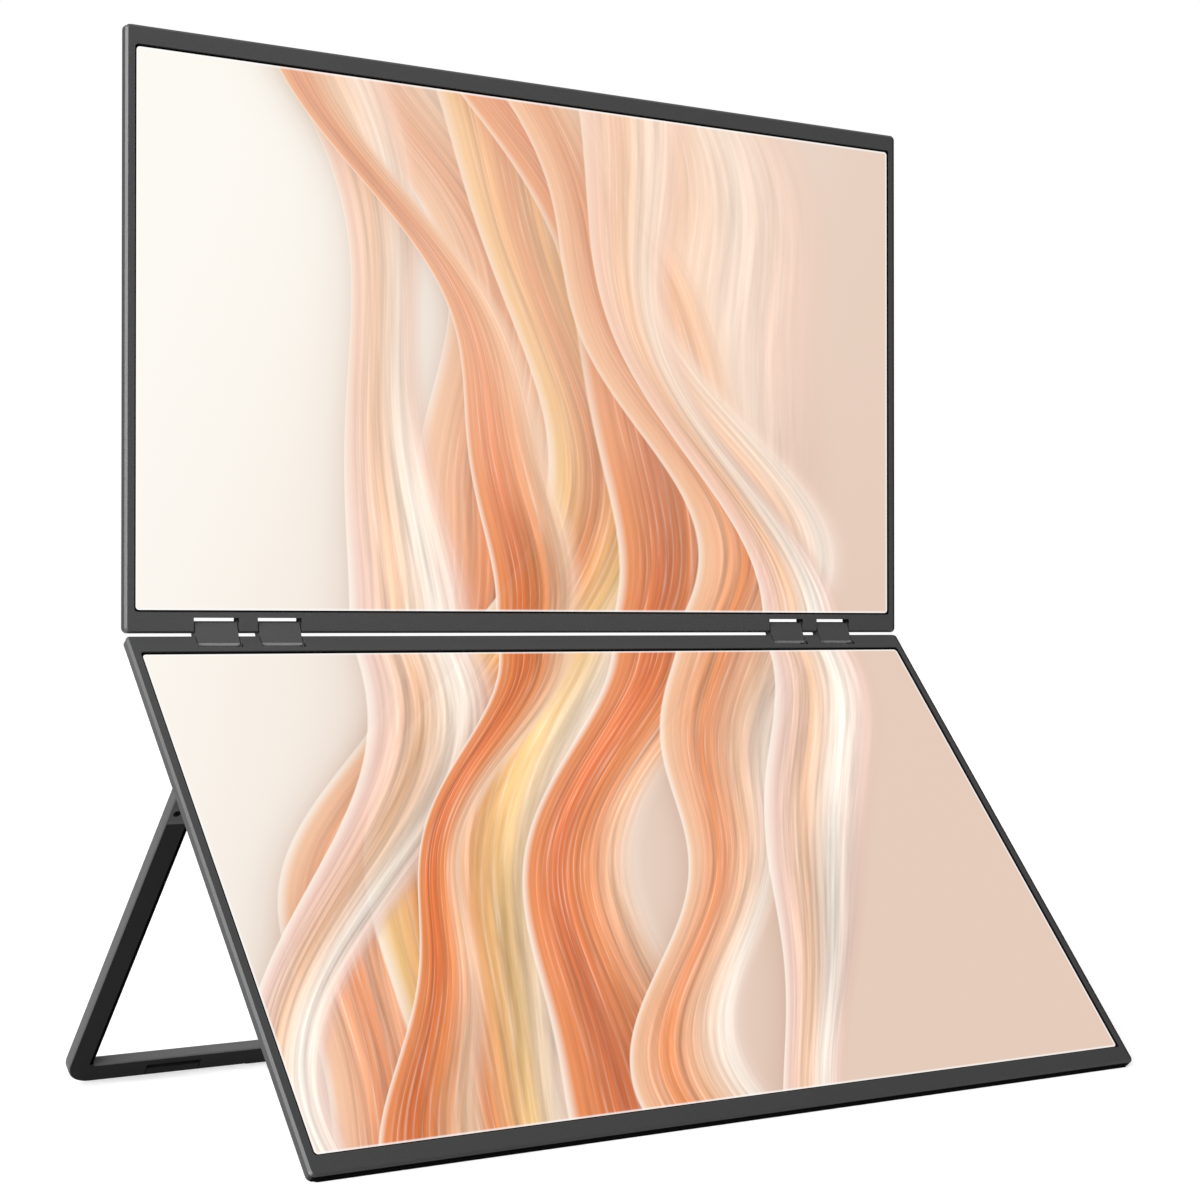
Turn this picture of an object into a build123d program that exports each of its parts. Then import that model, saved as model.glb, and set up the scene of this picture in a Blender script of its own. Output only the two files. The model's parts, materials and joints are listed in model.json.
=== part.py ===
from build123d import *

import os
from math import acos, atan2, cos, degrees, hypot, radians, sin

# A portable monitor with two equal screens, one above the other, joined along one edge by short
# links that turn on two parallel axes. A U-shaped stand folds out of the lower display's back.
# Each display is drawn flat: x runs along the hinge, y away from it, z out of the screen, and the
# origin lies on that display's hinge axis at mid thickness. The displays are then set in their pose.

# Screens, 15.6 inch from corner to corner
screen_width = 344.2
screen_height = 196.2

# Display layers from the front to the back
front_plate = 0.7
seat_gap = 0.05
glass_thickness = 1.2
light_guide_thickness = 1.55
back_wall = 0.7

# Display border
side_wall = 1.0
side_gap = 2.25
glass_margin = 1.0
glass_gap = 0.2
glass_ledge = 2.4
source_board_width = 2.4
source_board_thickness = 0.8
far_wall = 2.2
bezel_depth = 1.4
panel_corner_radius = 2.0
panel_chamfer = 0.8
window_reveal = 0.6
window_radius = 1.2
window_chamfer = 0.25
led_count = 24
led_size = 1.0

# Hinge between the displays
axis_spacing = 5.6
axis_to_edge = 1.9
pair_inset = 47.25
link_offset = 12.5
link_width = 16.5
link_thickness = 3.8
link_top_overhang = 2.15
link_low_overhang = 1.45
link_chamfer = 0.7
notch_side_gap = 0.5
notch_end_gap = 0.73
hinge_wall = 1.5
knuckle_wall = 0.7
knuckle_length = 10.0
hinge_shaft_radius = 0.8
bush_wall = 0.3
running_gap = 0.04
shaft_hole_gap = 0.1

# Pose of the lower display, measured from the vertical
lower_tilt = 40.0

# Stand
stand_inset = 2.75
stand_bar = 9.3
stand_foot_bar = 8.9
stand_thickness = 4.4
stand_end_gap = 1.9
stand_pivot_y = 59.8
stand_gap = 0.2
stand_outer_radius = 10.0
stand_inner_radius = 1.5
stand_chamfer = 0.4
stand_shaft_radius = 1.1
leaf_length = 14.5
leaf_thickness = 0.8
leaf_border = 0.5
leaf_screw_pitch = 3.6
leaf_screw_end = 4.9
bumper_slot_length = 22.2
bumper_slot_height = 4.9
bumper_slot_depth = 1.6
bumper_pad_height = 2.8
bumper_pad_gap = 0.4
bumper_end = 0.9
bumper_inset = 42.9

# Rubber feet: a flat strip under the lower display's edge, round beads under the stand's bar
foot_inset = 2.5
foot_width = 2.4
foot_proud = 0.15
foot_inlay = 1.4
foot_forward = 0.5
bead_length = 60.0
bead_radius = 1.2
bead_sink = 0.3
bead_front_gap = 0.2
bead_inset = 104.8

# Rear housing of the lower display
housing_start_y = 6.5
housing_proud = 0.4
housing_wall = 1.0
housing_corner = 3.0
housing_chamfer = 0.8
housing_side_gap = 1.6
housing_end_gap = 0.9
shoulder_gap = 0.8
shoulder_inset = 5.6
boss_radius = 2.0
boss_inset = 7.0
boss_board_gap = 15.2
boss_shoulder_drop = 22.0
clip_width = 9.5
clip_reach = 5.0
clip_slit = 0.6

# Screws
screw_shank_radius = 0.7
screw_head_radius = 1.35
screw_head_height = 0.5
screw_grip = 2.0
screw_gap = 0.05

# Boards, sockets and speakers
board_thickness = 1.0
board_edge_gap = 0.4
main_board_length = 105.0
socket_depth = 7.3
socket_wall = 0.3
socket_cavity = 6.2
socket_lip = 0.1
socket_gap = 0.08
tongue_length = 4.6
tongue_thickness = 0.7
usb_width = 8.94
usb_height = 3.2
hdmi_width = 11.2
hdmi_height = 3.2
hdmi_bevel = 0.9
first_socket = 9.0
socket_pitch = 12.0
hdmi_pitch = 13.5
speaker_length = 36.0
speaker_width = 16.0
speaker_height = 3.0
speaker_side_gap = 27.8
speaker_end_gap = 4.0
cone_length = 26.0
cone_width = 10.0
cone_depth = 0.8
grille_slots = 7
grille_pitch = 3.6
grille_slot_length = 9.0
grille_slot_width = 1.2

# Keys
key_length = 7.0
key_height = 2.4
key_proud = 0.5
key_gap = 0.15
key_flange = 0.8
key_flange_margin = 0.6
key_stem_radius = 0.6
key_travel = 0.35
key_pitch = 11.0
first_key = 11.0
switch_length = 3.6
switch_width = 4.6
switch_rise = 2.6
switch_clearance = 0.6
key_stem_entry = 0.6

# Chips on the main board, the largest first
chip_size = 14.0
chip_height = 1.0

# How far a cutting body runs past the face it opens
overcut = 1.0

# Sizes that follow
panel_thickness = front_plate + seat_gap + glass_thickness + light_guide_thickness + back_wall
panel_width = screen_width + 2 * (glass_margin + side_gap + side_wall)
half_width = panel_width / 2
front_z = panel_thickness / 2
back_z = -panel_thickness / 2
plate_z = front_z - front_plate
floor_z = back_z + back_wall
guide_z = floor_z + light_guide_thickness
parting_z = front_z - bezel_depth

link_sweep = hypot(max(link_top_overhang, link_low_overhang), link_thickness / 2)
edge_y = -axis_to_edge
notch_y = link_sweep + notch_end_gap
cavity_start_y = notch_y + hinge_wall
glass_start_y = cavity_start_y + glass_gap
screen_start_y = glass_start_y + glass_margin
screen_end_y = screen_start_y + screen_height
glass_end_y = screen_end_y + glass_ledge
board_start_y = glass_end_y + glass_gap
cavity_end_y = board_start_y + source_board_width + glass_gap
far_y = cavity_end_y + far_wall

link_notch = link_width / 2 + notch_side_gap
tongue_half = link_offset - link_notch
knuckle_start = link_offset + link_notch + knuckle_wall
knuckle_end = knuckle_start + knuckle_length
knuckle_front_y = -(axis_to_edge - knuckle_wall)
knuckle_back_y = cavity_start_y - knuckle_wall
hinge_screw_y = (hinge_shaft_radius + knuckle_back_y) / 2
hinge_screw_x = (knuckle_start + knuckle_end) / 2
pair_offset = half_width - pair_inset
pair_centres = (-pair_offset, pair_offset)
link_bore = hinge_shaft_radius + running_gap + bush_wall

stand_width = panel_width - 2 * stand_inset
stand_length = far_y - stand_end_gap - stand_pivot_y
stand_arm_x = stand_width / 2 - stand_bar / 2
stand_pivot_z = back_z - stand_gap - stand_thickness / 2
stand_half_t = stand_thickness / 2
bumper_offset = stand_width / 2 - bumper_inset
bead_offset = stand_width / 2 - bead_inset
foot_length = panel_width - 2 * foot_inset

housing_half = stand_width / 2 - stand_bar - housing_side_gap
housing_end_y = stand_pivot_y + stand_length - stand_foot_bar - housing_end_gap
shoulder_end_y = stand_pivot_y - stand_half_t - shoulder_gap
housing_back_z = stand_pivot_z - stand_half_t - housing_proud
housing_inner_z = housing_back_z + housing_wall
housing_mid_z = (back_z + housing_inner_z) / 2
port_wall_x = -half_width
key_wall_x = half_width - shoulder_inset
clip_start_x = housing_half - housing_wall - clip_width
main_board_x = port_wall_x + housing_wall + board_edge_gap
boss_inner_x = -main_board_x - main_board_length - boss_board_gap - boss_radius
speaker_offset = housing_half - housing_wall - speaker_side_gap - speaker_length / 2

# The stand's lean is solved so that its foot and the lower display's edge meet the table together
tilt = radians(lower_tilt)
half_tilt = tilt / 2


def flat_to_lower(y, z):
    return (-y * sin(tilt) - z * cos(tilt), -y * cos(tilt) + z * sin(tilt))


lowest_corners = (
    flat_to_lower(far_y, back_z + panel_chamfer),
    flat_to_lower(far_y - panel_chamfer, back_z),
)
table_z = min(corner[1] for corner in lowest_corners) - foot_proud
lower_foot_y = sum(corner[0] for corner in lowest_corners) / 2 - foot_forward
pivot_y, pivot_z = flat_to_lower(stand_pivot_y, stand_pivot_z)
bead_y = stand_length - bead_sink
bead_z = stand_half_t - bead_front_gap - bead_radius
bead_drop = pivot_z - table_z - bead_radius
stand_lean = acos(bead_drop / hypot(bead_y, bead_z)) + atan2(bead_z, bead_y)
stand_opening = lower_tilt + degrees(stand_lean)

upper_axis = (0, axis_spacing * sin(half_tilt), axis_spacing * cos(half_tilt))
lower_pose = Plane(origin=(0, 0, 0), x_dir=(-1, 0, 0), z_dir=(0, -cos(tilt), sin(tilt)))
upper_pose = Plane(origin=upper_axis, x_dir=(1, 0, 0), z_dir=(0, -1, 0))
link_pose = Plane(
    origin=(0, upper_axis[1] / 2, upper_axis[2] / 2),
    x_dir=(1, 0, 0),
    z_dir=(0, -cos(half_tilt), sin(half_tilt)),
)
stand_pose = Plane(
    origin=(0, pivot_y, pivot_z),
    x_dir=(-1, 0, 0),
    z_dir=(0, -cos(stand_lean), -sin(stand_lean)),
)


def block(x0, x1, y0, y1, z0, z1):
    return Pos((x0 + x1) / 2, (y0 + y1) / 2, (z0 + z1) / 2) * Box(x1 - x0, y1 - y0, z1 - z0)


def rounded_plate(width, y0, y1, z0, z1, radius):
    outline = RectangleRounded(width, y1 - y0, radius)
    return Pos(0, (y0 + y1) / 2, z0) * extrude(outline, z1 - z0)


def cross_rod(radius, x0, x1, y=0.0, z=0.0):
    return Pos((x0 + x1) / 2, y, z) * Rot(0, 90, 0) * Cylinder(radius, x1 - x0)


def upright_rod(radius, z0, z1, x, y):
    return Pos(x, y, (z0 + z1) / 2) * Cylinder(radius, z1 - z0)


def side_slot(length, height, x0, x1, y, z):
    return Pos(x0, y, z) * extrude(Plane.YZ * SlotOverall(length, height), x1 - x0)


# Screw with a flat head, seated from below: its head's face lies at head_z and it points up
def screw_from_below(x, y, head_z, grip):
    seat_z = head_z + screw_head_height
    head = upright_rod(screw_head_radius, head_z, seat_z, x, y)
    return head + upright_rod(screw_shank_radius, seat_z, seat_z + grip, x, y)


def screw_hole_from_below(x, y, head_z, depth):
    seat_z = head_z + screw_head_height
    counterbore = upright_rod(screw_head_radius + screw_gap, head_z - overcut, seat_z, x, y)
    return counterbore + upright_rod(screw_shank_radius + screw_gap, seat_z, seat_z + depth, x, y)


# Display, drawn flat
def panel_body():
    body = rounded_plate(panel_width, edge_y, far_y, back_z, front_z, panel_corner_radius)
    faces = body.faces().sort_by(Axis.Z)
    return chamfer(faces[0].edges() + faces[-1].edges(), panel_chamfer)


def hinge_notches():
    return [
        block(x - link_notch, x + link_notch, edge_y - overcut, notch_y, back_z - overcut, front_z + overcut)
        for centre in pair_centres
        for x in (centre - link_offset, centre + link_offset)
    ]


def knuckle_ranges(centre):
    return (
        (centre - knuckle_end, centre - knuckle_start),
        (centre - tongue_half + knuckle_wall, centre + tongue_half - knuckle_wall),
        (centre + knuckle_start, centre + knuckle_end),
    )


def knuckle_pockets():
    return [
        block(x0, x1, knuckle_front_y, knuckle_back_y, floor_z, plate_z)
        for centre in pair_centres
        for x0, x1 in knuckle_ranges(centre)
    ]


def shaft_passages():
    radius = hinge_shaft_radius + shaft_hole_gap
    return [cross_rod(radius, c - knuckle_end, c + knuckle_end) for c in pair_centres]


def hinge_screw_places():
    return [(c + s * hinge_screw_x, hinge_screw_y) for c in pair_centres for s in (-1, 1)]


def display_cavity(z0, z1):
    inner = half_width - side_wall
    return block(-inner, inner, cavity_start_y, cavity_end_y, z0, z1)


def back_cover():
    cover = panel_body() & block(-half_width, half_width, edge_y, far_y, back_z, parting_z)
    cover -= display_cavity(floor_z, parting_z + overcut)
    cover -= hinge_notches() + knuckle_pockets() + shaft_passages()
    holes = [screw_hole_from_below(x, y, back_z, back_wall) for x, y in hinge_screw_places()]
    return cover - holes


def front_bezel():
    bezel = panel_body() & block(-half_width, half_width, edge_y, far_y, parting_z, front_z)
    window = rounded_plate(
        screen_width + 2 * window_reveal,
        screen_start_y - window_reveal,
        screen_end_y + window_reveal,
        plate_z - overcut,
        front_z + overcut,
        window_radius,
    )
    bezel -= [display_cavity(parting_z - overcut, plate_z), window]
    front = bezel.faces().sort_by(Axis.Z)[-1]
    bezel = chamfer(front.inner_wires()[0].edges(), window_chamfer)
    return bezel - (hinge_notches() + knuckle_pockets() + shaft_passages())


def lcd_glass():
    half = screen_width / 2 + glass_margin
    return block(-half, half, glass_start_y, glass_end_y, guide_z, guide_z + glass_thickness)


def light_guide():
    half = screen_width / 2 + glass_margin / 2
    end_y = screen_end_y + glass_margin / 2
    return block(-half, half, glass_start_y, end_y, floor_z, guide_z)


# LED strip that stands on the cover beside the light guide's far edge and shines into it
def led_bar():
    start_y = screen_end_y + glass_margin / 2 + seat_gap
    end_y = glass_end_y - seat_gap
    strip_z = floor_z + back_wall / 3
    bar = block(-screen_width / 2, screen_width / 2, start_y, end_y, floor_z, strip_z)
    pitch = screen_width / led_count
    for i in range(led_count):
        x = (i + 0.5) * pitch - screen_width / 2
        bar += block(x - led_size, x + led_size, start_y, start_y + led_size, strip_z, strip_z + led_size)
    return bar


def source_board():
    end_y = board_start_y + source_board_width
    top_z = floor_z + source_board_thickness
    board = block(-screen_width / 4, screen_width / 4, board_start_y, end_y, floor_z, top_z)
    for i in range(-2, 3):
        x = i * screen_width / 12
        half = screen_width / 48
        chip_y = board_start_y + source_board_width / 4
        board += block(x - half, x + half, chip_y, end_y - glass_gap, top_z, top_z + source_board_thickness)
    return board


# Steel blocks that carry the hinge shaft on both sides of the links and in the tongue between them
def hinge_blocks():
    blocks = []
    for centre in pair_centres:
        for x0, x1 in knuckle_ranges(centre):
            knuckle = block(x0, x1, knuckle_front_y, knuckle_back_y, floor_z, plate_z)
            knuckle -= cross_rod(hinge_shaft_radius, x0 - overcut, x1 + overcut)
            blocks.append(knuckle)
    tapped = [
        upright_rod(screw_shank_radius, floor_z - overcut, back_z + screw_head_height + screw_grip, x, y)
        for x, y in hinge_screw_places()
    ]
    return [knuckle - tapped for knuckle in blocks]


def hinge_shafts():
    reach = knuckle_end - knuckle_wall
    return [cross_rod(hinge_shaft_radius, c - reach, c + reach) for c in pair_centres]


def hinge_screws():
    return [screw_from_below(x, y, back_z, screw_grip) for x, y in hinge_screw_places()]


# Link block with one bushed bore for each display's shaft; y runs up to the upper display
def hinge_link(x):
    low_y = -axis_spacing / 2 - link_low_overhang
    top_y = axis_spacing / 2 + link_top_overhang
    outline = Rectangle(top_y - low_y, link_thickness)
    outline = Plane.YZ * Pos((low_y + top_y) / 2, 0) * chamfer(outline.vertices(), link_chamfer)
    link = Pos(x - link_width / 2, 0, 0) * extrude(outline, link_width)
    bores = [
        cross_rod(link_bore, x - link_width, x + link_width, y)
        for y in (-axis_spacing / 2, axis_spacing / 2)
    ]
    return link - bores


def hinge_bushes():
    bushes = []
    for centre in pair_centres:
        for x in (centre - link_offset, centre + link_offset):
            for y in (-axis_spacing / 2, axis_spacing / 2):
                bush = cross_rod(link_bore, x - link_width / 2, x + link_width / 2, y)
                bush -= cross_rod(hinge_shaft_radius + running_gap, x - link_width, x + link_width, y)
                bushes.append(bush)
    return bushes


# Rear housing, drawn in the lower display's flat frame, with the sockets on the low x side
def boss_places():
    outer = housing_half - boss_inset
    high_y = shoulder_end_y + boss_shoulder_drop
    low_y = housing_end_y - boss_inset
    places = [(s * outer, y) for s in (-1, 1) for y in (high_y, low_y)]
    inner_y = (housing_start_y + boss_inset, low_y)
    return places + [(s * boss_inner_x, y) for s in (-1, 1) for y in inner_y]


def lower_back_cover():
    cover = back_cover()
    for x, y in boss_places():
        boss = upright_rod(boss_radius, housing_inner_z, back_z, x, y)
        cover += boss - upright_rod(screw_shank_radius, housing_inner_z - overcut, back_z, x, y)
    return cover


def housing_outline():
    corners = (
        (port_wall_x, housing_start_y),
        (key_wall_x, housing_start_y),
        (key_wall_x, shoulder_end_y),
        (housing_half, shoulder_end_y),
        (housing_half, housing_end_y),
        (-housing_half, housing_end_y),
        (-housing_half, shoulder_end_y),
        (port_wall_x, shoulder_end_y),
    )
    outline = make_face(Polyline(*corners, close=True))
    return fillet(outline.vertices(), housing_corner)


def usb_places():
    first = housing_start_y + first_socket
    return (first, first + socket_pitch)


def hdmi_place():
    return usb_places()[-1] + hdmi_pitch


def usb_profile(grow):
    return SlotOverall(usb_width + 2 * grow, usb_height + 2 * grow)


def hdmi_profile(grow):
    half = hdmi_width / 2 + grow
    rise = hdmi_height / 2 + grow
    corners = (
        (-half, rise),
        (half, rise),
        (half, hdmi_bevel - rise),
        (half - hdmi_bevel, -rise),
        (hdmi_bevel - half, -rise),
        (-half, hdmi_bevel - rise),
    )
    return make_face(Polyline(*corners, close=True))


def along_x(profile, x0, x1, y):
    return Pos(x0, y, housing_mid_z) * extrude(Plane.YZ * profile, x1 - x0)


def key_places():
    first = housing_start_y + first_key
    return [first + i * key_pitch for i in range(3)]


def speaker_y():
    return housing_end_y - housing_wall - speaker_end_gap - speaker_width / 2


def rear_housing():
    outline = housing_outline()
    shell = Pos(0, 0, housing_back_z) * extrude(outline, back_z - housing_back_z)
    back = shell.faces().sort_by(Axis.Z)[0]
    shell = chamfer(back.edges(), housing_chamfer)
    hollow = offset(outline, -housing_wall)
    shell -= Pos(0, 0, housing_inner_z) * extrude(hollow, back_z - housing_inner_z + overcut)
    cuts = [screw_hole_from_below(x, y, housing_back_z, housing_wall) for x, y in boss_places()]
    reach = housing_half + housing_side_gap
    hole = stand_shaft_radius + shaft_hole_gap
    cuts.append(cross_rod(hole, -reach, reach, stand_pivot_y, stand_pivot_z))
    wall_end = port_wall_x + housing_wall + board_edge_gap
    for y in usb_places():
        cuts.append(along_x(usb_profile(socket_gap), port_wall_x - overcut, wall_end, y))
    cuts.append(along_x(hdmi_profile(socket_gap), port_wall_x - overcut, wall_end, hdmi_place()))
    for y in key_places():
        x0 = key_wall_x - housing_wall - board_edge_gap
        size = (key_length + 2 * key_gap, key_height + 2 * key_gap)
        cuts.append(side_slot(*size, x0, key_wall_x + overcut, y, housing_mid_z))
    for s in (-1, 1):
        for i in range(grille_slots):
            x = s * speaker_offset + (i - (grille_slots - 1) / 2) * grille_pitch
            slot = Rot(0, 0, 90) * SlotOverall(grille_slot_length, grille_slot_width)
            depth = 2 * housing_wall
            cuts.append(Pos(x, speaker_y(), housing_back_z - housing_wall / 2) * extrude(slot, depth))
    return shell - cuts


def housing_screws():
    return [screw_from_below(x, y, housing_back_z, screw_grip) for x, y in boss_places()]


# Friction clip that grips the stand's shaft inside the housing
def stand_clip(side):
    x0, x1 = sorted((side * clip_start_x, side * (housing_half - housing_wall)))
    y1 = stand_pivot_y + clip_reach
    clip = block(x0, x1, shoulder_end_y, y1, housing_inner_z, back_z)
    clip -= cross_rod(stand_shaft_radius + running_gap, x0 - overcut, x1 + overcut, stand_pivot_y, stand_pivot_z)
    slit_z = stand_pivot_z + clip_slit / 2
    return clip - block(x0 - overcut, x1 + overcut, stand_pivot_y, y1 + overcut, slit_z - clip_slit, slit_z)


def socket_start():
    return port_wall_x + socket_lip


def socket_shell(profile, y):
    x0 = socket_start()
    shell = along_x(profile(0), x0, x0 + socket_depth, y)
    return shell - along_x(profile(-socket_wall), x0 - overcut, x0 + socket_cavity, y)


def socket_tongue(width, y):
    x1 = socket_start() + socket_cavity
    half = width / 2 - socket_wall - tongue_thickness
    z0 = housing_mid_z - tongue_thickness / 2
    return block(x1 - tongue_length, x1, y - half, y + half, z0, z0 + tongue_thickness)


def usb_shells():
    return [socket_shell(usb_profile, y) for y in usb_places()]


def usb_tongues():
    return [socket_tongue(usb_width, y) for y in usb_places()]


def main_board():
    x0 = main_board_x
    y0 = housing_start_y + housing_wall + board_edge_gap
    y1 = shoulder_end_y - housing_wall - board_edge_gap
    board = rounded_plate(main_board_length, y0, y1, back_z - board_thickness, back_z, housing_corner)
    board = Pos(x0 + main_board_length / 2, 0, 0) * board
    rear_x = socket_start() + socket_depth + socket_gap
    low_z = back_z - board_thickness - overcut
    cutouts = [(y, usb_width) for y in usb_places()] + [(hdmi_place(), hdmi_width)]
    for y, width in cutouts:
        half = width / 2 + socket_gap
        board -= block(x0 - overcut, rear_x, y - half, y + half, low_z, back_z + overcut)
    return board


def main_board_chips():
    x0 = socket_start() + socket_depth
    mid_y = (housing_start_y + shoulder_end_y) / 2
    top_z = back_z - board_thickness
    # Place along and across the board, length, width and height, in chip sizes and chip heights
    layout = (
        (1.6, 0.0, 1.0, 1.0, 1.2),
        (2.9, 0.6, 0.6, 0.85, 1.0),
        (2.9, -0.65, 0.65, 0.65, 0.9),
        (4.0, 0.0, 0.45, 0.45, 2.2),
        (4.7, 0.65, 0.45, 0.45, 2.2),
        (4.7, -0.65, 0.35, 0.5, 0.9),
        (6.0, 0.0, 0.3, 1.6, 1.6),
    )
    chips = []
    for along, across, length, width, height in layout:
        x = x0 + along * chip_size
        y = mid_y + across * chip_size
        dx = length * chip_size / 2
        dy = width * chip_size / 2
        chips.append(block(x - dx, x + dx, y - dy, y + dy, top_z - height * chip_height, top_z))
    return chips


def key_flange_x():
    return key_wall_x - housing_wall - seat_gap


def switch_front_x():
    return key_flange_x() - key_flange - switch_clearance


def control_key(y):
    x1 = key_flange_x()
    x0 = x1 - key_flange
    cap = side_slot(key_length, key_height, x1, key_wall_x + key_proud, y, housing_mid_z)
    tip = cap.faces().sort_by(Axis.X)[-1]
    cap = chamfer(tip.edges(), key_proud / 2)
    margin = 2 * key_flange_margin
    flange = side_slot(key_length + margin, key_height + margin, x0, x1, y, housing_mid_z)
    stem = cross_rod(key_stem_radius, switch_front_x() - key_stem_entry, x0, y, housing_mid_z)
    return cap + flange + stem


def key_board():
    x1 = switch_front_x()
    places = key_places()
    y0 = places[0] - key_pitch / 2
    y1 = places[-1] + key_pitch / 2
    return block(x1 - 2 * switch_length, x1, y0, y1, back_z - board_thickness, back_z)


def side_switches():
    x1 = switch_front_x()
    z1 = back_z - board_thickness
    switches = []
    for y in key_places():
        body = block(x1 - switch_length, x1, y - switch_width / 2, y + switch_width / 2, z1 - switch_rise, z1)
        depth = key_stem_entry + 2 * key_travel
        body -= cross_rod(key_stem_radius + running_gap, x1 - depth, x1 + overcut, y, housing_mid_z)
        switches.append(body)
    return switches


# Speaker box glued inside the housing's back, its cone behind the grille
def speaker(side):
    x = side * speaker_offset
    outline = RectangleRounded(speaker_length, speaker_width, housing_corner)
    box = Pos(x, speaker_y(), housing_inner_z) * extrude(outline, speaker_height)
    recess = Pos(x, speaker_y(), housing_inner_z) * extrude(SlotOverall(cone_length, cone_width), cone_depth)
    return box - recess


# Stand, drawn flat: the origin lies on its pivot, y runs to the foot, z faces the display's back
def stand_body():
    outer = rounded_plate(
        stand_width, -stand_length, stand_length, -stand_half_t, stand_half_t, stand_outer_radius
    )
    inner = rounded_plate(
        stand_width - 2 * stand_bar,
        -stand_length,
        stand_length - stand_foot_bar,
        -stand_thickness,
        stand_thickness,
        stand_inner_radius,
    )
    half = stand_width / 2
    frame = (outer - inner) & block(-half, half, 0, stand_length, -stand_half_t, stand_half_t)
    faces = frame.faces().sort_by(Axis.Z)
    edges = (faces[0].edges() + faces[-1].edges()).filter_by(lambda edge: edge.center().Y > stand_chamfer)
    frame = chamfer(edges, stand_chamfer)
    for s in (-1, 1):
        x = s * stand_arm_x
        barrel = cross_rod(stand_half_t, x - stand_bar / 2, x + stand_bar / 2)
        rims = barrel.edges().filter_by(GeomType.CIRCLE)
        frame += chamfer(rims, stand_chamfer)
    return frame


# Leaf let into the arm's front, with the shaft that turns in the clip
def stand_leaf(side):
    x = side * stand_arm_x
    half = stand_bar / 2 - leaf_border
    top_z = stand_half_t
    leaf = block(x - half, x + half, 0, leaf_length, top_z - leaf_thickness, top_z)
    leaf += block(x - half, x + half, 0, stand_shaft_radius, 0, top_z)
    x0, x1 = sorted((side * clip_start_x, x + side * half))
    return leaf + cross_rod(stand_shaft_radius, x0, x1)


# Two screws side by side across each arm
def leaf_screw_places():
    y = leaf_length - leaf_screw_end
    half = leaf_screw_pitch / 2
    return [(arm + dx, y) for arm in (-stand_arm_x, stand_arm_x) for dx in (-half, half)]


# Screw seated from above, its head's face at head_z
def screw_from_above(x, y, head_z, grip):
    seat_z = head_z - screw_head_height
    head = upright_rod(screw_head_radius, seat_z, head_z, x, y)
    return head + upright_rod(screw_shank_radius, seat_z - grip, seat_z, x, y)


# Slots in the bar's front, and the pad that fills the half of each slot that is nearer the foot
def bumper_blocks(length, height, top_z):
    y1 = stand_length - bumper_end
    z0 = stand_half_t - bumper_slot_depth
    return [
        block(x - length / 2, x + length / 2, y1 - height, y1, z0, top_z)
        for x in (-bumper_offset, bumper_offset)
    ]


def bumper_slots():
    return bumper_blocks(bumper_slot_length, bumper_slot_height, stand_half_t + overcut)


def stand_bumpers():
    return bumper_blocks(bumper_slot_length - 2 * bumper_pad_gap, bumper_pad_height, stand_half_t)


def stand_beads():
    beads = []
    for s in (-1, 1):
        ends = [s * bead_offset - bead_length / 2, s * bead_offset + bead_length / 2]
        bead = cross_rod(bead_radius, *ends, bead_y, bead_z)
        beads.append(bead + [Pos(x, bead_y, bead_z) * Sphere(bead_radius) for x in ends])
    return beads


# Strip level with the table, let into the edge that the lower display stands on
def lower_strip():
    outline = SlotOverall(foot_length, foot_width)
    return Pos(0, lower_foot_y, table_z) * extrude(outline, foot_proud + foot_inlay)


def placed(shapes, pose):
    if not isinstance(shapes, list):
        shapes = [shapes]
    return [pose.location * shape for shape in shapes]


# The pieces in the pose of use, still measured from the lower hinge axis
parts = {}

for name, pose in (("upper", upper_pose), ("lower", lower_pose)):
    parts[f"{name}_bezel"] = placed(front_bezel(), pose)
    parts[f"{name}_lcd_glass"] = placed(lcd_glass(), pose)
    parts[f"{name}_light_guide"] = placed(light_guide(), pose)
    parts[f"{name}_led_bar"] = placed(led_bar(), pose)
    parts[f"{name}_source_board"] = placed(source_board(), pose)
    parts[f"{name}_hinge_blocks"] = placed(hinge_blocks(), pose)
    parts[f"{name}_hinge_shafts"] = placed(hinge_shafts(), pose)
    parts[f"{name}_hinge_screws"] = placed(hinge_screws(), pose)

parts["upper_back_cover"] = placed(back_cover(), upper_pose)

link_places = {
    "left_outer": -pair_offset - link_offset,
    "left_inner": -pair_offset + link_offset,
    "right_inner": pair_offset - link_offset,
    "right_outer": pair_offset + link_offset,
}
for name, x in link_places.items():
    parts[f"hinge_link_{name}"] = placed(hinge_link(x), link_pose)
parts["hinge_bushes"] = placed(hinge_bushes(), link_pose)

lower_feet = lower_strip()
parts["lower_feet"] = [lower_feet]
parts["lower_back_cover"] = [placed(lower_back_cover(), lower_pose)[0] - lower_feet]

parts["rear_housing"] = placed(rear_housing(), lower_pose)
parts["housing_screws"] = placed(housing_screws(), lower_pose)
parts["main_board"] = placed(main_board(), lower_pose)
parts["main_board_chips"] = placed(main_board_chips(), lower_pose)
parts["usb_c_shells"] = placed(usb_shells(), lower_pose)
parts["usb_c_tongues"] = placed(usb_tongues(), lower_pose)
parts["hdmi_shell"] = placed(socket_shell(hdmi_profile, hdmi_place()), lower_pose)
parts["hdmi_tongue"] = placed(socket_tongue(hdmi_width - hdmi_bevel, hdmi_place()), lower_pose)
parts["key_board"] = placed(key_board(), lower_pose)
parts["side_switches"] = placed(side_switches(), lower_pose)
for name, y in zip(("power_key", "menu_key_up", "menu_key_down"), key_places()):
    parts[name] = placed(control_key(y), lower_pose)
for name, side in (("left", 1), ("right", -1)):
    parts[f"speaker_{name}"] = placed(speaker(side), lower_pose)
    parts[f"stand_clip_{name}"] = placed(stand_clip(side), lower_pose)

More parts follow.
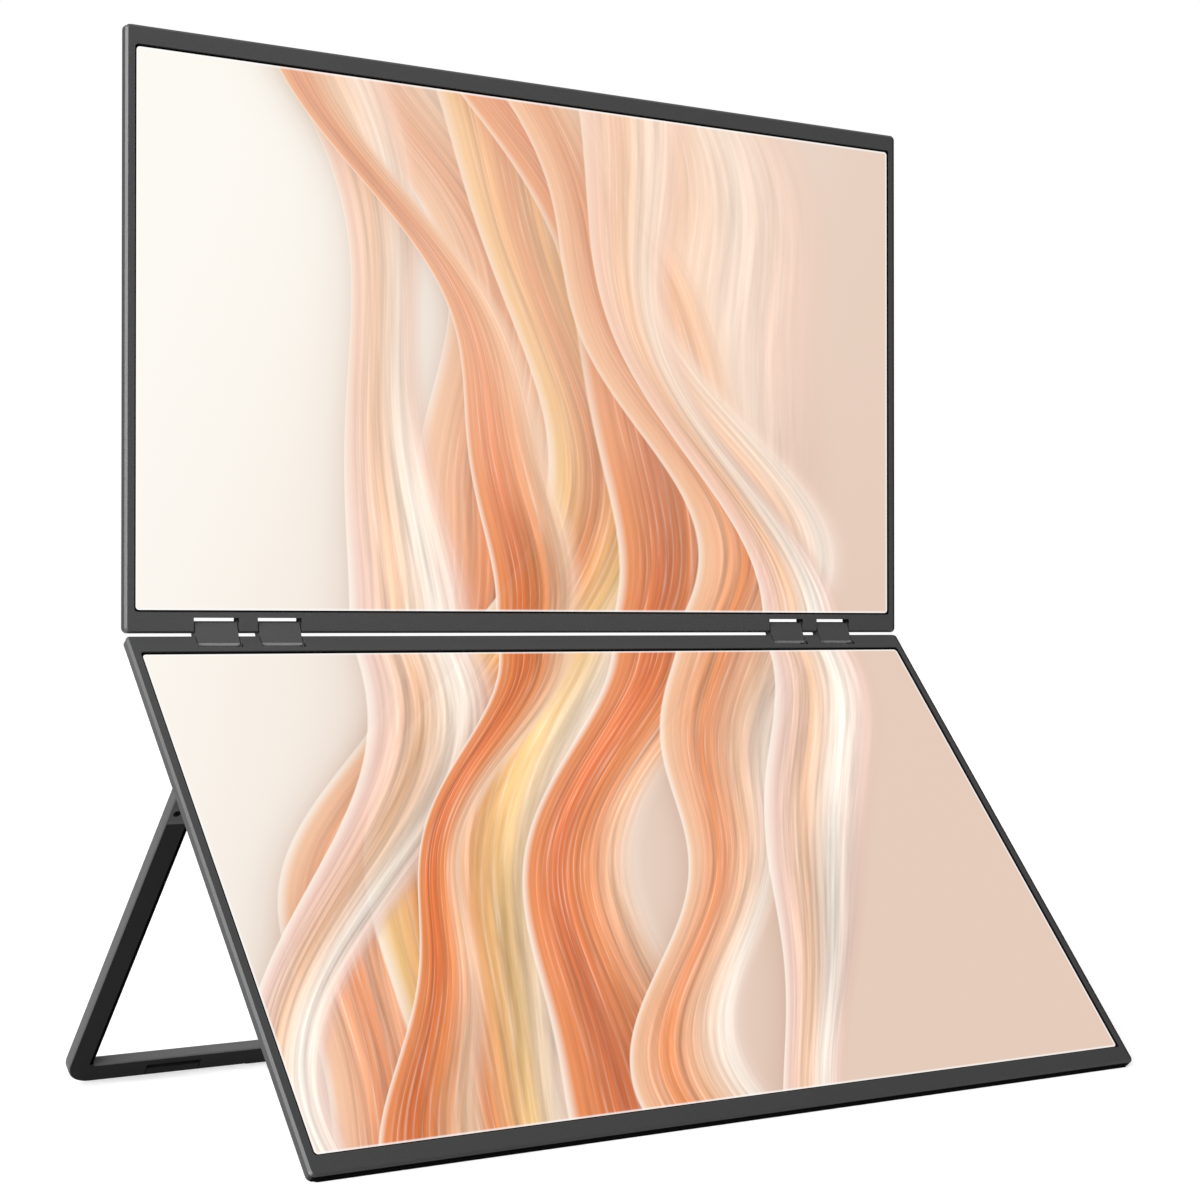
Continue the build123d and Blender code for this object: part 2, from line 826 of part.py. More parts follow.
leaves = {"left": stand_leaf(1), "right": stand_leaf(-1)}
leaf_screws = [screw_from_above(x, y, stand_half_t, screw_grip) for x, y in leaf_screw_places()]
beads = stand_beads()
frame = stand_body() - (list(leaves.values()) + leaf_screws + bumper_slots() + beads)
parts["stand_frame"] = placed(frame, stand_pose)
for name, leaf in leaves.items():
    parts[f"stand_leaf_{name}"] = placed(leaf - leaf_screws, stand_pose)
parts["stand_leaf_screws"] = placed(leaf_screws, stand_pose)
parts["stand_bumpers"] = placed(stand_bumpers(), stand_pose)
parts["stand_feet"] = placed(beads, stand_pose)

# The table lies at z = 0 and the origin under the middle of the whole object
extent = Compound([solid for shapes in parts.values() for solid in shapes]).bounding_box()
to_table = Pos(-extent.center().X, -extent.center().Y, -extent.min.Z)

os.makedirs("parts", exist_ok=True)
for name, shapes in parts.items():
    solids = [solid for shape in shapes for solid in (to_table * shape).solids()]
    export_step(solids[0] if len(solids) == 1 else Compound(solids), f"parts/{name}.step")

print("lower hinge axis", tuple(to_table.position))
print("upper hinge axis", tuple(to_table.position + Vector(*upper_axis)))
print("stand pivot", tuple(to_table.position + Vector(0, pivot_y, pivot_z)))
print("stand lean", degrees(stand_lean), "opening", stand_opening)
print("overall", extent.size)
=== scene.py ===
import json
import math

import bmesh
import bpy
from mathutils import Matrix, Vector


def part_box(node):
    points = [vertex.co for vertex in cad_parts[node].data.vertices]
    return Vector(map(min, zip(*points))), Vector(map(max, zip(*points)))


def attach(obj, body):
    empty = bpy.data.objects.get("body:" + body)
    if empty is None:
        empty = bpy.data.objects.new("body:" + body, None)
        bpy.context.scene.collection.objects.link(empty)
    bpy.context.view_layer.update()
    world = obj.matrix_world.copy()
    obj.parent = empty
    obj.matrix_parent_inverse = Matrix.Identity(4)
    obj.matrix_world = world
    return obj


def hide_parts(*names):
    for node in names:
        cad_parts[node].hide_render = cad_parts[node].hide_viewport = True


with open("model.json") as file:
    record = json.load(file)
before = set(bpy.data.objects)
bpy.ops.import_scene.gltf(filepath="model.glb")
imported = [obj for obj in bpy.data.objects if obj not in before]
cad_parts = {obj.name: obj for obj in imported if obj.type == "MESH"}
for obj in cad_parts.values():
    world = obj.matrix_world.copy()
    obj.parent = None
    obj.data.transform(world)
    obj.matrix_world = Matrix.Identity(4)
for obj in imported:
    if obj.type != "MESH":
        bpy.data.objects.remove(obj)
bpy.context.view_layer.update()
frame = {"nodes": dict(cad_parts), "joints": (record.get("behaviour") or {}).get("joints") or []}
nodes = frame["nodes"]
print("frame loaded,", len(nodes), "nodes")

# Where the hinge axes and the stand's pivot lie, and how far the lower display and the stand lean
joints = {joint["name"]: joint for joint in frame["joints"]}
upperAxis = Vector(joints["upper_fold"]["pos_m"])
lowerAxis = Vector(joints["lower_fold"]["pos_m"])
standAxis = Vector(joints["stand_swing"]["pos_m"])


# A sheet's lean, from its box and the box of an upright sheet of the same size
def leanOf(upright, leaning):
    low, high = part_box(upright)
    length, thickness = high.z - low.z, high.y - low.y
    low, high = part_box(leaning)
    depth, height = high.y - low.y, high.z - low.z
    return math.atan2(depth * length - height * thickness, height * length - depth * thickness)


lowerLean = leanOf("upper_lcd_glass", "lower_lcd_glass")
standLean = -math.radians(joints["stand_swing"]["range_deg"][0]) - lowerLean
leans = [round(math.degrees(lean), 2) for lean in (lowerLean, standLean)]
print("lower display and stand lean by", *leans, "degrees")

# Maps from the row frame to each part stood upright at its own axis, with its front towards -y
upperFlat = Matrix.Translation(-upperAxis)
lowerFlat = Matrix.Rotation(lowerLean, 4, "X") @ Matrix.Translation(-lowerAxis)
standFlat = Matrix.Rotation(-standLean, 4, "X") @ Matrix.Translation(-standAxis)


# A part's own front and its way up, in the row frame
def frontOf(toFlat):
    return toFlat.to_3x3().inverted() @ Vector((0, -1, 0))


def upOf(toFlat):
    return toFlat.to_3x3().inverted() @ Vector((0, 0, 1))


upperFront, lowerFront, standFront = frontOf(upperFlat), frontOf(lowerFlat), frontOf(standFlat)
upperUp, lowerUp = upOf(upperFlat), upOf(lowerFlat)
linkFront = (upperFront + lowerFront).normalized()
linkUp = (upperUp + lowerUp).normalized()
toLeft, toRight = Vector((-1, 0, 0)), Vector((1, 0, 0))


# Small helpers for shader trees
def addNode(tree, kind, **settings):
    node = tree.nodes.new(kind)
    for key, value in settings.items():
        setattr(node, key, value)
    return node


def feed(tree, socket, value):
    if isinstance(value, bpy.types.NodeSocket):
        tree.links.new(value, socket)
    else:
        socket.default_value = value


def calc(tree, operation, *values):
    node = addNode(tree, "ShaderNodeMath", operation=operation)
    for socket, value in zip(node.inputs, values):
        feed(tree, socket, value)
    return node.outputs[0]


def product(tree, first, *others):
    for value in others:
        first = calc(tree, "MULTIPLY", first, value)
    return first


def fade(tree, value, start, end, low=0.0, high=1.0, kind="SMOOTHSTEP"):
    node = addNode(tree, "ShaderNodeMapRange", interpolation_type=kind)
    for socket, number in zip(node.inputs, (value, start, end, low, high)):
        feed(tree, socket, number)
    return node.outputs[0]


# A Mix node's colour sockets come after those for numbers and vectors
def blendColour(tree, factor, first, second, kind="MIX"):
    node = addNode(tree, "ShaderNodeMix", data_type="RGBA", blend_type=kind)
    feed(tree, node.inputs[0], factor)
    feed(tree, node.inputs[6], first)
    feed(tree, node.inputs[7], second)
    return node.outputs[2]


def scaleColour(tree, colour, share):
    node = addNode(tree, "ShaderNodeVectorMath", operation="SCALE")
    feed(tree, node.inputs[0], colour)
    feed(tree, node.inputs["Scale"], share)
    return node.outputs[0]


def colourRamp(tree, factor, stops):
    node = addNode(tree, "ShaderNodeValToRGB")
    elements = node.color_ramp.elements
    while len(elements) < len(stops):
        elements.new(1.0)
    for element, (place, colour) in zip(elements, stops):
        element.position = place
        element.color = colour
    feed(tree, node.inputs[0], factor)
    return node.outputs[0]


def grain(tree, vector, scale, detail=2.0, roughness=0.5):
    node = addNode(tree, "ShaderNodeTexNoise")
    feed(tree, node.inputs["Vector"], vector)
    node.inputs["Scale"].default_value = scale
    node.inputs["Detail"].default_value = detail
    node.inputs["Roughness"].default_value = roughness
    return node.outputs["Fac"]


# Most of a noise lies within this range, which is spread from low to high
noiseRange = (0.3, 0.7)


def spread(tree, noise, low, high):
    return fade(tree, noise, *noiseRange, low, high, "LINEAR")


def objectPlace(tree, location=(0, 0, 0), rotation=(0, 0, 0), scale=(1, 1, 1)):
    source = addNode(tree, "ShaderNodeTexCoord")
    mapping = addNode(tree, "ShaderNodeMapping")
    mapping.inputs["Location"].default_value = location
    mapping.inputs["Rotation"].default_value = rotation
    mapping.inputs["Scale"].default_value = scale
    tree.links.new(source.outputs["Object"], mapping.inputs["Vector"])
    return mapping.outputs["Vector"]


def splitPlace(tree, place):
    node = addNode(tree, "ShaderNodeSeparateXYZ")
    feed(tree, node.inputs[0], place)
    return node.outputs


def bumpFrom(tree, shader, height, strength, distance):
    bump = addNode(tree, "ShaderNodeBump")
    bump.inputs["Strength"].default_value = strength
    bump.inputs["Distance"].default_value = distance
    feed(tree, bump.inputs["Height"], height)
    tree.links.new(bump.outputs["Normal"], shader.inputs["Normal"])


def newFinish(name):
    material = bpy.data.materials.new(name)
    material.use_nodes = True
    tree = material.node_tree
    return material, tree, tree.nodes["Principled BSDF"]


white = (1, 1, 1, 1)


# A colour as a screen shows it, from 0 to 255, made linear
def fromScreen(red, green, blue):
    def linear(value):
        value /= 255
        return value / 12.92 if value <= 0.04045 else ((value + 0.055) / 1.055) ** 2.4
    return (linear(red), linear(green), linear(blue), 1.0)


# How far the object's own normal points along a direction
def turnedTo(tree, direction):
    turned = addNode(tree, "ShaderNodeVectorMath", operation="DOT_PRODUCT")
    feed(tree, turned.inputs[0], addNode(tree, "ShaderNodeTexCoord").outputs["Normal"])
    turned.inputs[1].default_value = direction
    return turned.outputs["Value"]


# A value that differs on a part's side walls, the cut edges of its front and rear, its front and its back
zones = {"backToFront": (-0.1, 0.1), "wallToCut": (0.15, 0.45), "cutToFlat": (0.84, 0.96)}


def byZone(tree, front, side, cut, face, rearCut, back):
    turned = turnedTo(tree, front)
    facing = calc(tree, "ABSOLUTE", turned)
    flat = fade(tree, turned, *zones["backToFront"], back, face)
    edge = fade(tree, turned, *zones["backToFront"], rearCut, cut)
    wallOrEdge = fade(tree, facing, *zones["wallToCut"], side, edge)
    return fade(tree, facing, *zones["cutToFlat"], wallOrEdge, flat)


# 1 within a band of distances from an axis and of widths either side of the middle, and 0 elsewhere
def withinBand(tree, place, hollow):
    level = addNode(tree, "ShaderNodeCombineXYZ")
    feed(tree, level.inputs["Y"], place["Y"])
    feed(tree, level.inputs["Z"], place["Z"])
    away = addNode(tree, "ShaderNodeVectorMath", operation="DISTANCE")
    feed(tree, away.inputs[0], level.outputs[0])
    away.inputs[1].default_value = (0, hollow["axis"].y, hollow["axis"].z)
    between = calc(tree, "LESS_THAN", calc(tree, "ABSOLUTE", place["X"]), hollow["halfWidth"])
    past = calc(tree, "GREATER_THAN", away.outputs["Value"], hollow["near"])
    short = calc(tree, "LESS_THAN", away.outputs["Value"], hollow["far"])
    return product(tree, between, past, short)


# Painted shade on a machined piece: the share of the light that its colour and shine keep. Outer edges keep
# it by the way their cut and wall face, the right-hand rim and the openings by zone.
edgeTurns = {"intoCut": (0.40, 0.60), "cutToWall": (0.80, 0.92)}


def paintedShade(tree, look, front, place):
    share = 1.0
    for direction, cut, wall in look["edges"]:
        turned = turnedTo(tree, direction)
        kept = fade(tree, turned, *edgeTurns["intoCut"], 1.0, cut)
        kept = fade(tree, turned, *edgeTurns["cutToWall"], kept, wall)
        share = product(tree, share, kept)
    for rim in look["rims"]:
        beyond = fade(tree, place["X"], rim["start"], rim["end"])
        kept = fade(tree, beyond, 0.0, 1.0, 1.0, byZone(tree, front, *rim["light"]), "LINEAR")
        share = product(tree, share, kept)
    for hollow in look["shadedHollows"]:
        inside = withinBand(tree, place, hollow)
        share = fade(tree, inside, 0.0, 1.0, share, byZone(tree, front, *hollow["light"]), "LINEAR")
    return share


# Sets the shine of a machined piece and gives its tone, as painted light and shade: both are set by the way
# each zone faces and dimmed by the painted shade, and the tone falls off across the part. Walls that face
# right have a shine of their own, set by their facing as painted light.
rightTurns = {"fade": (0.3, 0.6), "glint": (0.85, 0.95)}


def paintedLightTone(tree, shader, look, front):
    place = splitPlace(tree, objectPlace(tree))
    light = paintedShade(tree, look, front, place)
    turned = turnedTo(tree, toRight)
    notRight = fade(tree, turned, *rightTurns["fade"], 1.0, 0.0)
    glint = fade(tree, turned, *rightTurns["glint"])
    shine = product(tree, byZone(tree, front, *look["shine"]), notRight)
    shine = calc(tree, "MULTIPLY_ADD", glint, look["rightShine"], shine)
    tree.links.new(product(tree, shine, light), shader.inputs["Specular IOR Level"])
    tone = product(tree, byZone(tree, front, *look["tone"]), light)
    for axis, start, end, low, high in look["paintedFalloff"]:
        tone = product(tree, tone, fade(tree, place[axis], start, end, low, high, "LINEAR"))
    return tone


# Moulded, cast and blasted surfaces share one recipe: slow clouds and fine grain in colour and roughness,
# and the grain in relief too. Machined pieces also give their front, and a tone and a shine for each zone,
# which paint light and shade into them.
recipe = {
    "cloudDetail": 3.0, "fineDetail": 2.0, "fineRoughness": 0.6, "cloudWeight": 0.35, "fineWeight": 0.65,
}


def shadeOf(colour, share):
    return tuple(channel * share for channel in colour) + (1.0,)


def grainyFinish(name, look, front=None):
    material, tree, shader = newFinish(name)
    texture = objectPlace(tree, scale=look.get("stretch", (1, 1, 1)))
    clouds = grain(tree, texture, look["cloudScale"], recipe["cloudDetail"])
    fine = grain(tree, texture, look["grainScale"], recipe["fineDetail"], recipe["fineRoughness"])
    dark = shadeOf(look["colour"], 1 - look["cloudAmount"])
    pale = shadeOf(look["colour"], 1 + look["cloudAmount"])
    colour = blendColour(tree, clouds, dark, pale)
    speck = spread(tree, fine, 1 - look["grainAmount"], 1 + look["grainAmount"])
    # Machined pieces have painted light and shade multiplied into their colour
    if front:
        speck = product(tree, speck, paintedLightTone(tree, shader, look, front))
    else:
        shader.inputs["Specular IOR Level"].default_value = look["specular"]
    tree.links.new(scaleColour(tree, colour, speck), shader.inputs["Base Color"])
    fineShare = product(tree, fine, recipe["fineWeight"])
    mixed = calc(tree, "MULTIPLY_ADD", clouds, recipe["cloudWeight"], fineShare)
    tree.links.new(spread(tree, mixed, *look["roughness"]), shader.inputs["Roughness"])
    shader.inputs["Metallic"].default_value = look.get("metallic", 0.0)
    bumpFrom(tree, shader, fine, look["bump"], look["bumpDepth"])
    return material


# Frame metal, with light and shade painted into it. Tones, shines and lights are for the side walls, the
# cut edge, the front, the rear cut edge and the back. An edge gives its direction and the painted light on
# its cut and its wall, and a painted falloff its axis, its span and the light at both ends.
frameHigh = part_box("upper_bezel")[1]
frameHalf, frameReach, rimWidth = frameHigh.x, frameHigh.z - upperAxis.z, 0.00215
# Painted shade on the walls and cut edges inside the frame: the windows' walls and the notches'
windowWallShade = {
    "near": 0.0025, "far": frameReach - rimWidth, "halfWidth": frameHalf - rimWidth,
    "light": (0.09, 0.25, 1.0, 1.0, 1.0),
}
standBar = {"width": 0.0093, "round": 0.0015}
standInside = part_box("stand_frame")[1].x - standBar["width"] + standBar["round"]
blastedMetal = {
    "colour": (0.0750, 0.0752, 0.0760), "cloudScale": 22.0, "cloudAmount": 0.05,
    "grainScale": 2600.0, "grainAmount": 0.10, "roughness": (0.40, 0.50),
    "bump": 0.10, "bumpDepth": 0.00004,
    # Painted light and shade by zone, falling off from left to right, with painted shade near the
    # right-hand rim, on the left walls and top cut edges, and on the window walls
    "tone": (0.88, 0.88, 1.0, 0.88, 1.05), "shine": (0.15, 0.60, 0.10, 0.30, 0.12), "rightShine": 0.5,
    "paintedFalloff": (("X", -frameHalf, frameHalf, 1.15, 0.82),),
    "rims": [{
        "start": frameHalf - rimWidth, "end": frameHalf - rimWidth / 3, "light": (1.0, 0.2, 0.2, 1.0, 1.0),
    }],
    "edges": ((toLeft, 1.0, 0.58), (upperUp, 0.52, 1.0)),
    "shadedHollows": [dict(windowWallShade, axis=upperAxis)],
}
# The lower display's frame: the same metal painted darker as shade, lighter on its walls and cut edges,
# with painted light falling off to the right and down to its foot, painted shade on its top cut edge and
# its bottom edge nearly black
lowerMetal = dict(
    blastedMetal, colour=(0.0560, 0.0565, 0.0575), tone=(1.05, 1.20, 1.0, 1.20, 1.35),
    paintedFalloff=(("X", -frameHalf, frameHalf, 1.14, 0.79), ("Z", 0.0, 0.16, 0.82, 1.04)),
    edges=((lowerUp, 0.30, 1.0), (-lowerUp, 0.55, 0.05)), shadedHollows=[dict(windowWallShade, axis=lowerAxis)],
)
# The links: cut edges painted far lighter as a painted highlight, painted light falling off to the right,
# and the top cut edge painted dark as shade
linkMetal = dict(
    blastedMetal, tone=(0.5, 6.5, 1.1, 1.2, 1.1), shine=(0.10, 0.30, 0.10, 0.30, 0.12),
    paintedFalloff=(("X", -frameHalf, frameHalf, 1.12, 0.68),), edges=((linkUp, 0.03, 0.40),),
    rims=[], shadedHollows=[],
)
# The stand: side walls and cut edges painted lighter and the front darker, as painted light and shade, with
# painted shade on its left walls
standMetal = dict(
    blastedMetal, tone=(1.9, 1.9, 0.57, 1.0, 1.05), shine=(0.25, 0.25, 0.03, 0.20, 0.12),
    paintedFalloff=(), edges=((toLeft, 0.80, 0.60),), rims=[],
    # Painted shade in the pads' slots in the bar and on the arms' inner walls
    shadedHollows=[  # the pads' slots in the bar, then the arms' inner walls
        {"axis": standAxis, "near": 0.1415, "far": 0.1476, "halfWidth": 0.150,
         "light": (0.15, 0.4, 1.0, 1.0, 1.0)},
        {"axis": standAxis, "near": 0.0150, "far": 0.1386, "halfWidth": standInside,
         "light": (0.5, 0.05, 0.05, 1.0, 1.0)},
    ],
)

# Steel, bronze, plastic and rubber
leafSteel = {
    "colour": (0.062, 0.0625, 0.0635), "cloudScale": 60.0, "cloudAmount": 0.05,
    "grainScale": 2400.0, "grainAmount": 0.10, "roughness": (0.34, 0.46),
    "bump": 0.10, "bumpDepth": 0.00003, "metallic": 1.0, "specular": 0.5,
}
housingPlastic = {
    "colour": (0.045, 0.0455, 0.0465), "cloudScale": 18.0, "cloudAmount": 0.05,
    "grainScale": 1500.0, "grainAmount": 0.08, "roughness": (0.50, 0.68),
    "bump": 0.22, "bumpDepth": 0.00008, "specular": 0.3,
}
keyPlastic = {
    "colour": (0.034, 0.034, 0.036), "cloudScale": 60.0, "cloudAmount": 0.05,
    "grainScale": 2200.0, "grainAmount": 0.06, "roughness": (0.36, 0.48),
    "bump": 0.10, "bumpDepth": 0.00005, "specular": 0.4,
}
matteRubber = {
    "colour": (0.012, 0.012, 0.012), "cloudScale": 120.0, "cloudAmount": 0.12,
    "grainScale": 1900.0, "grainAmount": 0.15, "roughness": (0.70, 0.88),
    "bump": 0.30, "bumpDepth": 0.00006, "specular": 0.2,
}
satinSteel = {
    "colour": (0.48, 0.48, 0.49), "cloudScale": 60.0, "cloudAmount": 0.05, "stretch": (0.06, 1, 1),
    "grainScale": 2400.0, "grainAmount": 0.10, "roughness": (0.24, 0.38),
    "bump": 0.10, "bumpDepth": 0.00003, "metallic": 1.0, "specular": 0.5,
}
oilBronze = {
    "colour": (0.44, 0.29, 0.14), "cloudScale": 90.0, "cloudAmount": 0.12,
    "grainScale": 3200.0, "grainAmount": 0.20, "roughness": (0.34, 0.52),
    "bump": 0.18, "bumpDepth": 0.00004, "metallic": 1.0, "specular": 0.5,
}
blackOxide = {
    "colour": (0.022, 0.022, 0.024), "cloudScale": 200.0, "cloudAmount": 0.10,
    "grainScale": 3000.0, "grainAmount": 0.12, "roughness": (0.34, 0.48),
    "bump": 0.10, "bumpDepth": 0.00003, "metallic": 0.6, "specular": 0.5,
}
leafScrewBlack = dict(
    blackOxide, colour=(0.004, 0.004, 0.0045), roughness=(0.55, 0.70), metallic=0.0, specular=0.05,
)
# The lower display's foot strip: rubber painted nearly black as the shade under the display's bottom edge
shadedFootRubber = dict(matteRubber, colour=(0.003, 0.003, 0.003), specular=0.03)
mouldedChip = {
    "colour": (0.016, 0.016, 0.017), "cloudScale": 140.0, "cloudAmount": 0.10,
    "grainScale": 2600.0, "grainAmount": 0.18, "roughness": (0.50, 0.66),
    "bump": 0.20, "bumpDepth": 0.00004, "specular": 0.35,
}

finishes = {
    "upper_frame": grainyFinish("upper frame metal with painted light", blastedMetal, upperFront),
    "lower_frame": grainyFinish("lower frame metal with painted light", lowerMetal, lowerFront),
    "links": grainyFinish("link metal with painted highlight and shade", linkMetal, linkFront),
    "stand": grainyFinish("stand metal with painted light", standMetal, standFront),
    "leaf": grainyFinish("stand leaf steel", leafSteel),
    "housing_plastic": grainyFinish("eroded housing plastic", housingPlastic),
    "key_plastic": grainyFinish("satin key plastic", keyPlastic),
    "rubber_black": grainyFinish("matte foot rubber", matteRubber),
    "steel": grainyFinish("satin hinge steel", satinSteel),
    "bronze": grainyFinish("sintered bush bronze", oilBronze),
    "dark_screw": grainyFinish("black oxide screw", blackOxide),
    "chip_black": grainyFinish("moulded chip", mouldedChip),
    "leaf_screw": grainyFinish("blackened leaf screw", leafScrewBlack),
    "foot": grainyFinish("foot rubber painted dark as shade", shadedFootRubber),
}

# Circuit boards: green mask over copper runs, with tinned pads
boardLook = {
    "mask": (0.012, 0.070, 0.038, 1.0), "copper": (0.030, 0.130, 0.065, 1.0),
    "runScale": 420.0, "runOffset": 0.37, "runSquash": 2.6, "squashEvery": 3, "runGap": 0.07,
    "pad": (0.55, 0.54, 0.50, 1.0), "padScale": 520.0, "padSize": 0.16,
    "wearScale": 900.0, "roughness": (0.30, 0.42), "bump": 0.3, "bumpDepth": 0.00003,
}


def boardFinish(name, look):
    material, tree, shader = newFinish(name)
    place = objectPlace(tree, rotation=(lowerLean, 0, 0))
    runs = addNode(tree, "ShaderNodeTexBrick", offset=look["runOffset"])
    runs.squash = look["runSquash"]
    runs.squash_frequency = look["squashEvery"]
    feed(tree, runs.inputs["Vector"], place)
    runs.inputs["Scale"].default_value = look["runScale"]
    runs.inputs["Mortar Size"].default_value = look["runGap"]
    colour = blendColour(tree, runs.outputs["Fac"], look["mask"], look["copper"])
    dots = addNode(tree, "ShaderNodeTexVoronoi", feature="F1")
    feed(tree, dots.inputs["Vector"], place)
    dots.inputs["Scale"].default_value = look["padScale"]
    pads = calc(tree, "LESS_THAN", dots.outputs["Distance"], look["padSize"])
    tree.links.new(blendColour(tree, pads, colour, look["pad"]), shader.inputs["Base Color"])
    wear = grain(tree, place, look["wearScale"])
    tree.links.new(spread(tree, wear, *look["roughness"]), shader.inputs["Roughness"])
    bumpFrom(tree, shader, runs.outputs["Fac"], look["bump"], look["bumpDepth"])
    return material


# Light guide: pale clear sheet with a printed lattice of dots that draws the light out
guideLook = {
    "sheet": (0.80, 0.83, 0.85, 1.0), "dot": (0.95, 0.96, 0.97, 1.0), "pitch": 0.0018,
    "dotRim": (0.30, 0.35), "roughness": (0.12, 0.5), "bump": 0.2, "bumpDepth": 0.00002,
}


def guideFinish(name, look):
    material, tree, shader = newFinish(name)
    place = objectPlace(tree, scale=(1 / look["pitch"],) * 3)
    cell = addNode(tree, "ShaderNodeVectorMath", operation="FRACTION")
    feed(tree, cell.inputs[0], place)
    fromMiddle = addNode(tree, "ShaderNodeVectorMath", operation="DISTANCE")
    feed(tree, fromMiddle.inputs[0], cell.outputs[0])
    fromMiddle.inputs[1].default_value = (0.5, 0.5, 0.5)
    dots = fade(tree, fromMiddle.outputs["Value"], *look["dotRim"], 1.0, 0.0)
    tree.links.new(blendColour(tree, dots, look["sheet"], look["dot"]), shader.inputs["Base Color"])
    tree.links.new(fade(tree, dots, 0.0, 1.0, *look["roughness"], "LINEAR"), shader.inputs["Roughness"])
    bumpFrom(tree, shader, dots, look["bump"], look["bumpDepth"])
    return material


finishes["board"] = boardFinish("masked circuit board", boardLook)
finishes["clear_acrylic"] = guideFinish("dotted light guide", guideLook)
print("plain finishes ready,", len(finishes))

# Picture on the two screens: one run of silk bands that hangs through both. Lengths are in millimetres, and
# heights are from each screen's hinge axis. A band lists its base, two sways (size, wave, phase), its width
# (size, swing, wave, phase), its count of threads, its opacity and its ramp.
silkColours = {
    "left": fromScreen(253, 250, 243), "right": fromScreen(229, 203, 186),
    "cream": fromScreen(255, 246, 234), "peach": fromScreen(247, 198, 162),
    "apricot": fromScreen(250, 206, 140), "orange": fromScreen(234, 142, 86),
    "ember": fromScreen(222, 112, 58), "blush": fromScreen(243, 208, 196),
    "rose": fromScreen(232, 172, 148), "shadow": (0.45, 0.15, 0.0, 1.0),
}
silk = {
    "slope": -0.45, "slopeSpan": (-240.0, 110.0), "shift": -34.0,
    "softSpan": (0.0, 120.0), "soften": 0.45, "lift": 0.08,
    "crowding": 0.8, "threadPull": 0.010, "coarseNoise": (1.0, 1.0), "fineNoise": (3.1, 2.0, 0.6),
    "threadRange": (0.25, 0.75), "threadDepth": 0.30, "fineDepth": 0.16,
    "bodyIn": (0.02, 0.20), "bodyOut": (0.70, 1.0), "coverIn": (0.0, 0.012), "coverOut": (0.72, 1.0),
    "ribs": 1.15, "ribDrift": 3.0, "ribPower": 5.0, "ribDepth": 0.32,
    "ribRange": (-0.6, 0.8), "ribShare": (0.2, 1.0),
    "foldsPerSwing": 1.4, "foldRange": (-0.4, 1.0), "foldIn": (0.0, 0.4), "foldDepth": 0.18,
    "shadowDepth": 0.22, "shadowReach": 7.0,
}
bandRamps = {
    "warm": (
        (0, "cream"), (0.05, "peach"), (0.30, "orange"), (0.55, "peach"), (0.80, "cream"), (1, "blush"),
    ),
    "ember": (
        (0, "cream"), (0.06, "orange"), (0.28, "ember"), (0.50, "orange"), (0.75, "peach"), (1, "cream"),
    ),
    "pale": (
        (0, "cream"), (0.08, "blush"), (0.35, "peach"), (0.60, "cream"), (0.85, "blush"), (1, "rose"),
    ),
    "gold": (
        (0, "cream"), (0.08, "apricot"), (0.35, "orange"), (0.62, "apricot"), (0.85, "cream"), (1, "peach"),
    ),
}
bands = (
    {"base": -20, "sways": ((70, 620, 0.2), (14, 190, 1.0)), "width": (150, 0.35, 420, 0.4), "threads": 26,
     "opacity": 0.75, "ramp": "pale"},
    {"base": -75, "sways": ((62, 560, 0.6), (10, 160, 2.2)), "width": (110, 0.40, 380, 1.6), "threads": 22,
     "opacity": 0.90, "ramp": "warm"},
    {"base": -38, "sways": ((66, 540, 0.5), (12, 210, 0.4)), "width": (96, 0.45, 360, 2.6), "threads": 18,
     "opacity": 0.95, "ramp": "gold"},
    {"base": 8, "sways": ((58, 500, 0.9), (9, 170, 1.7)), "width": (88, 0.40, 330, 0.2), "threads": 20,
     "opacity": 0.95, "ramp": "ember"},
    {"base": -98, "sways": ((54, 600, 0.9), (12, 230, 3.0)), "width": (64, 0.50, 300, 2.2), "threads": 16,
     "opacity": 0.90, "ramp": "pale"},
    {"base": 44, "sways": ((50, 470, 1.3), (12, 150, 0.2)), "width": (84, 0.45, 310, 1.2), "threads": 20,
     "opacity": 0.90, "ramp": "warm"},
    {"base": -52, "sways": ((60, 520, 1.1), (8, 140, 2.0)), "width": (44, 0.55, 260, 0.8), "threads": 12,
     "opacity": 0.95, "ramp": "ember"},
    {"base": 84, "sways": ((46, 430, 1.7), (10, 180, 1.1)), "width": (60, 0.50, 280, 2.9), "threads": 15,
     "opacity": 0.85, "ramp": "pale"},
)


def wave(tree, along, length, phase):
    return calc(tree, "SINE", calc(tree, "MULTIPLY_ADD", along, 2 * math.pi / length, phase))


# 1 between a rise and a fall, and 0 outside them
def plateau(tree, share, rise, fall):
    return product(tree, fade(tree, share, *rise), fade(tree, share, *fall, 1.0, 0.0))


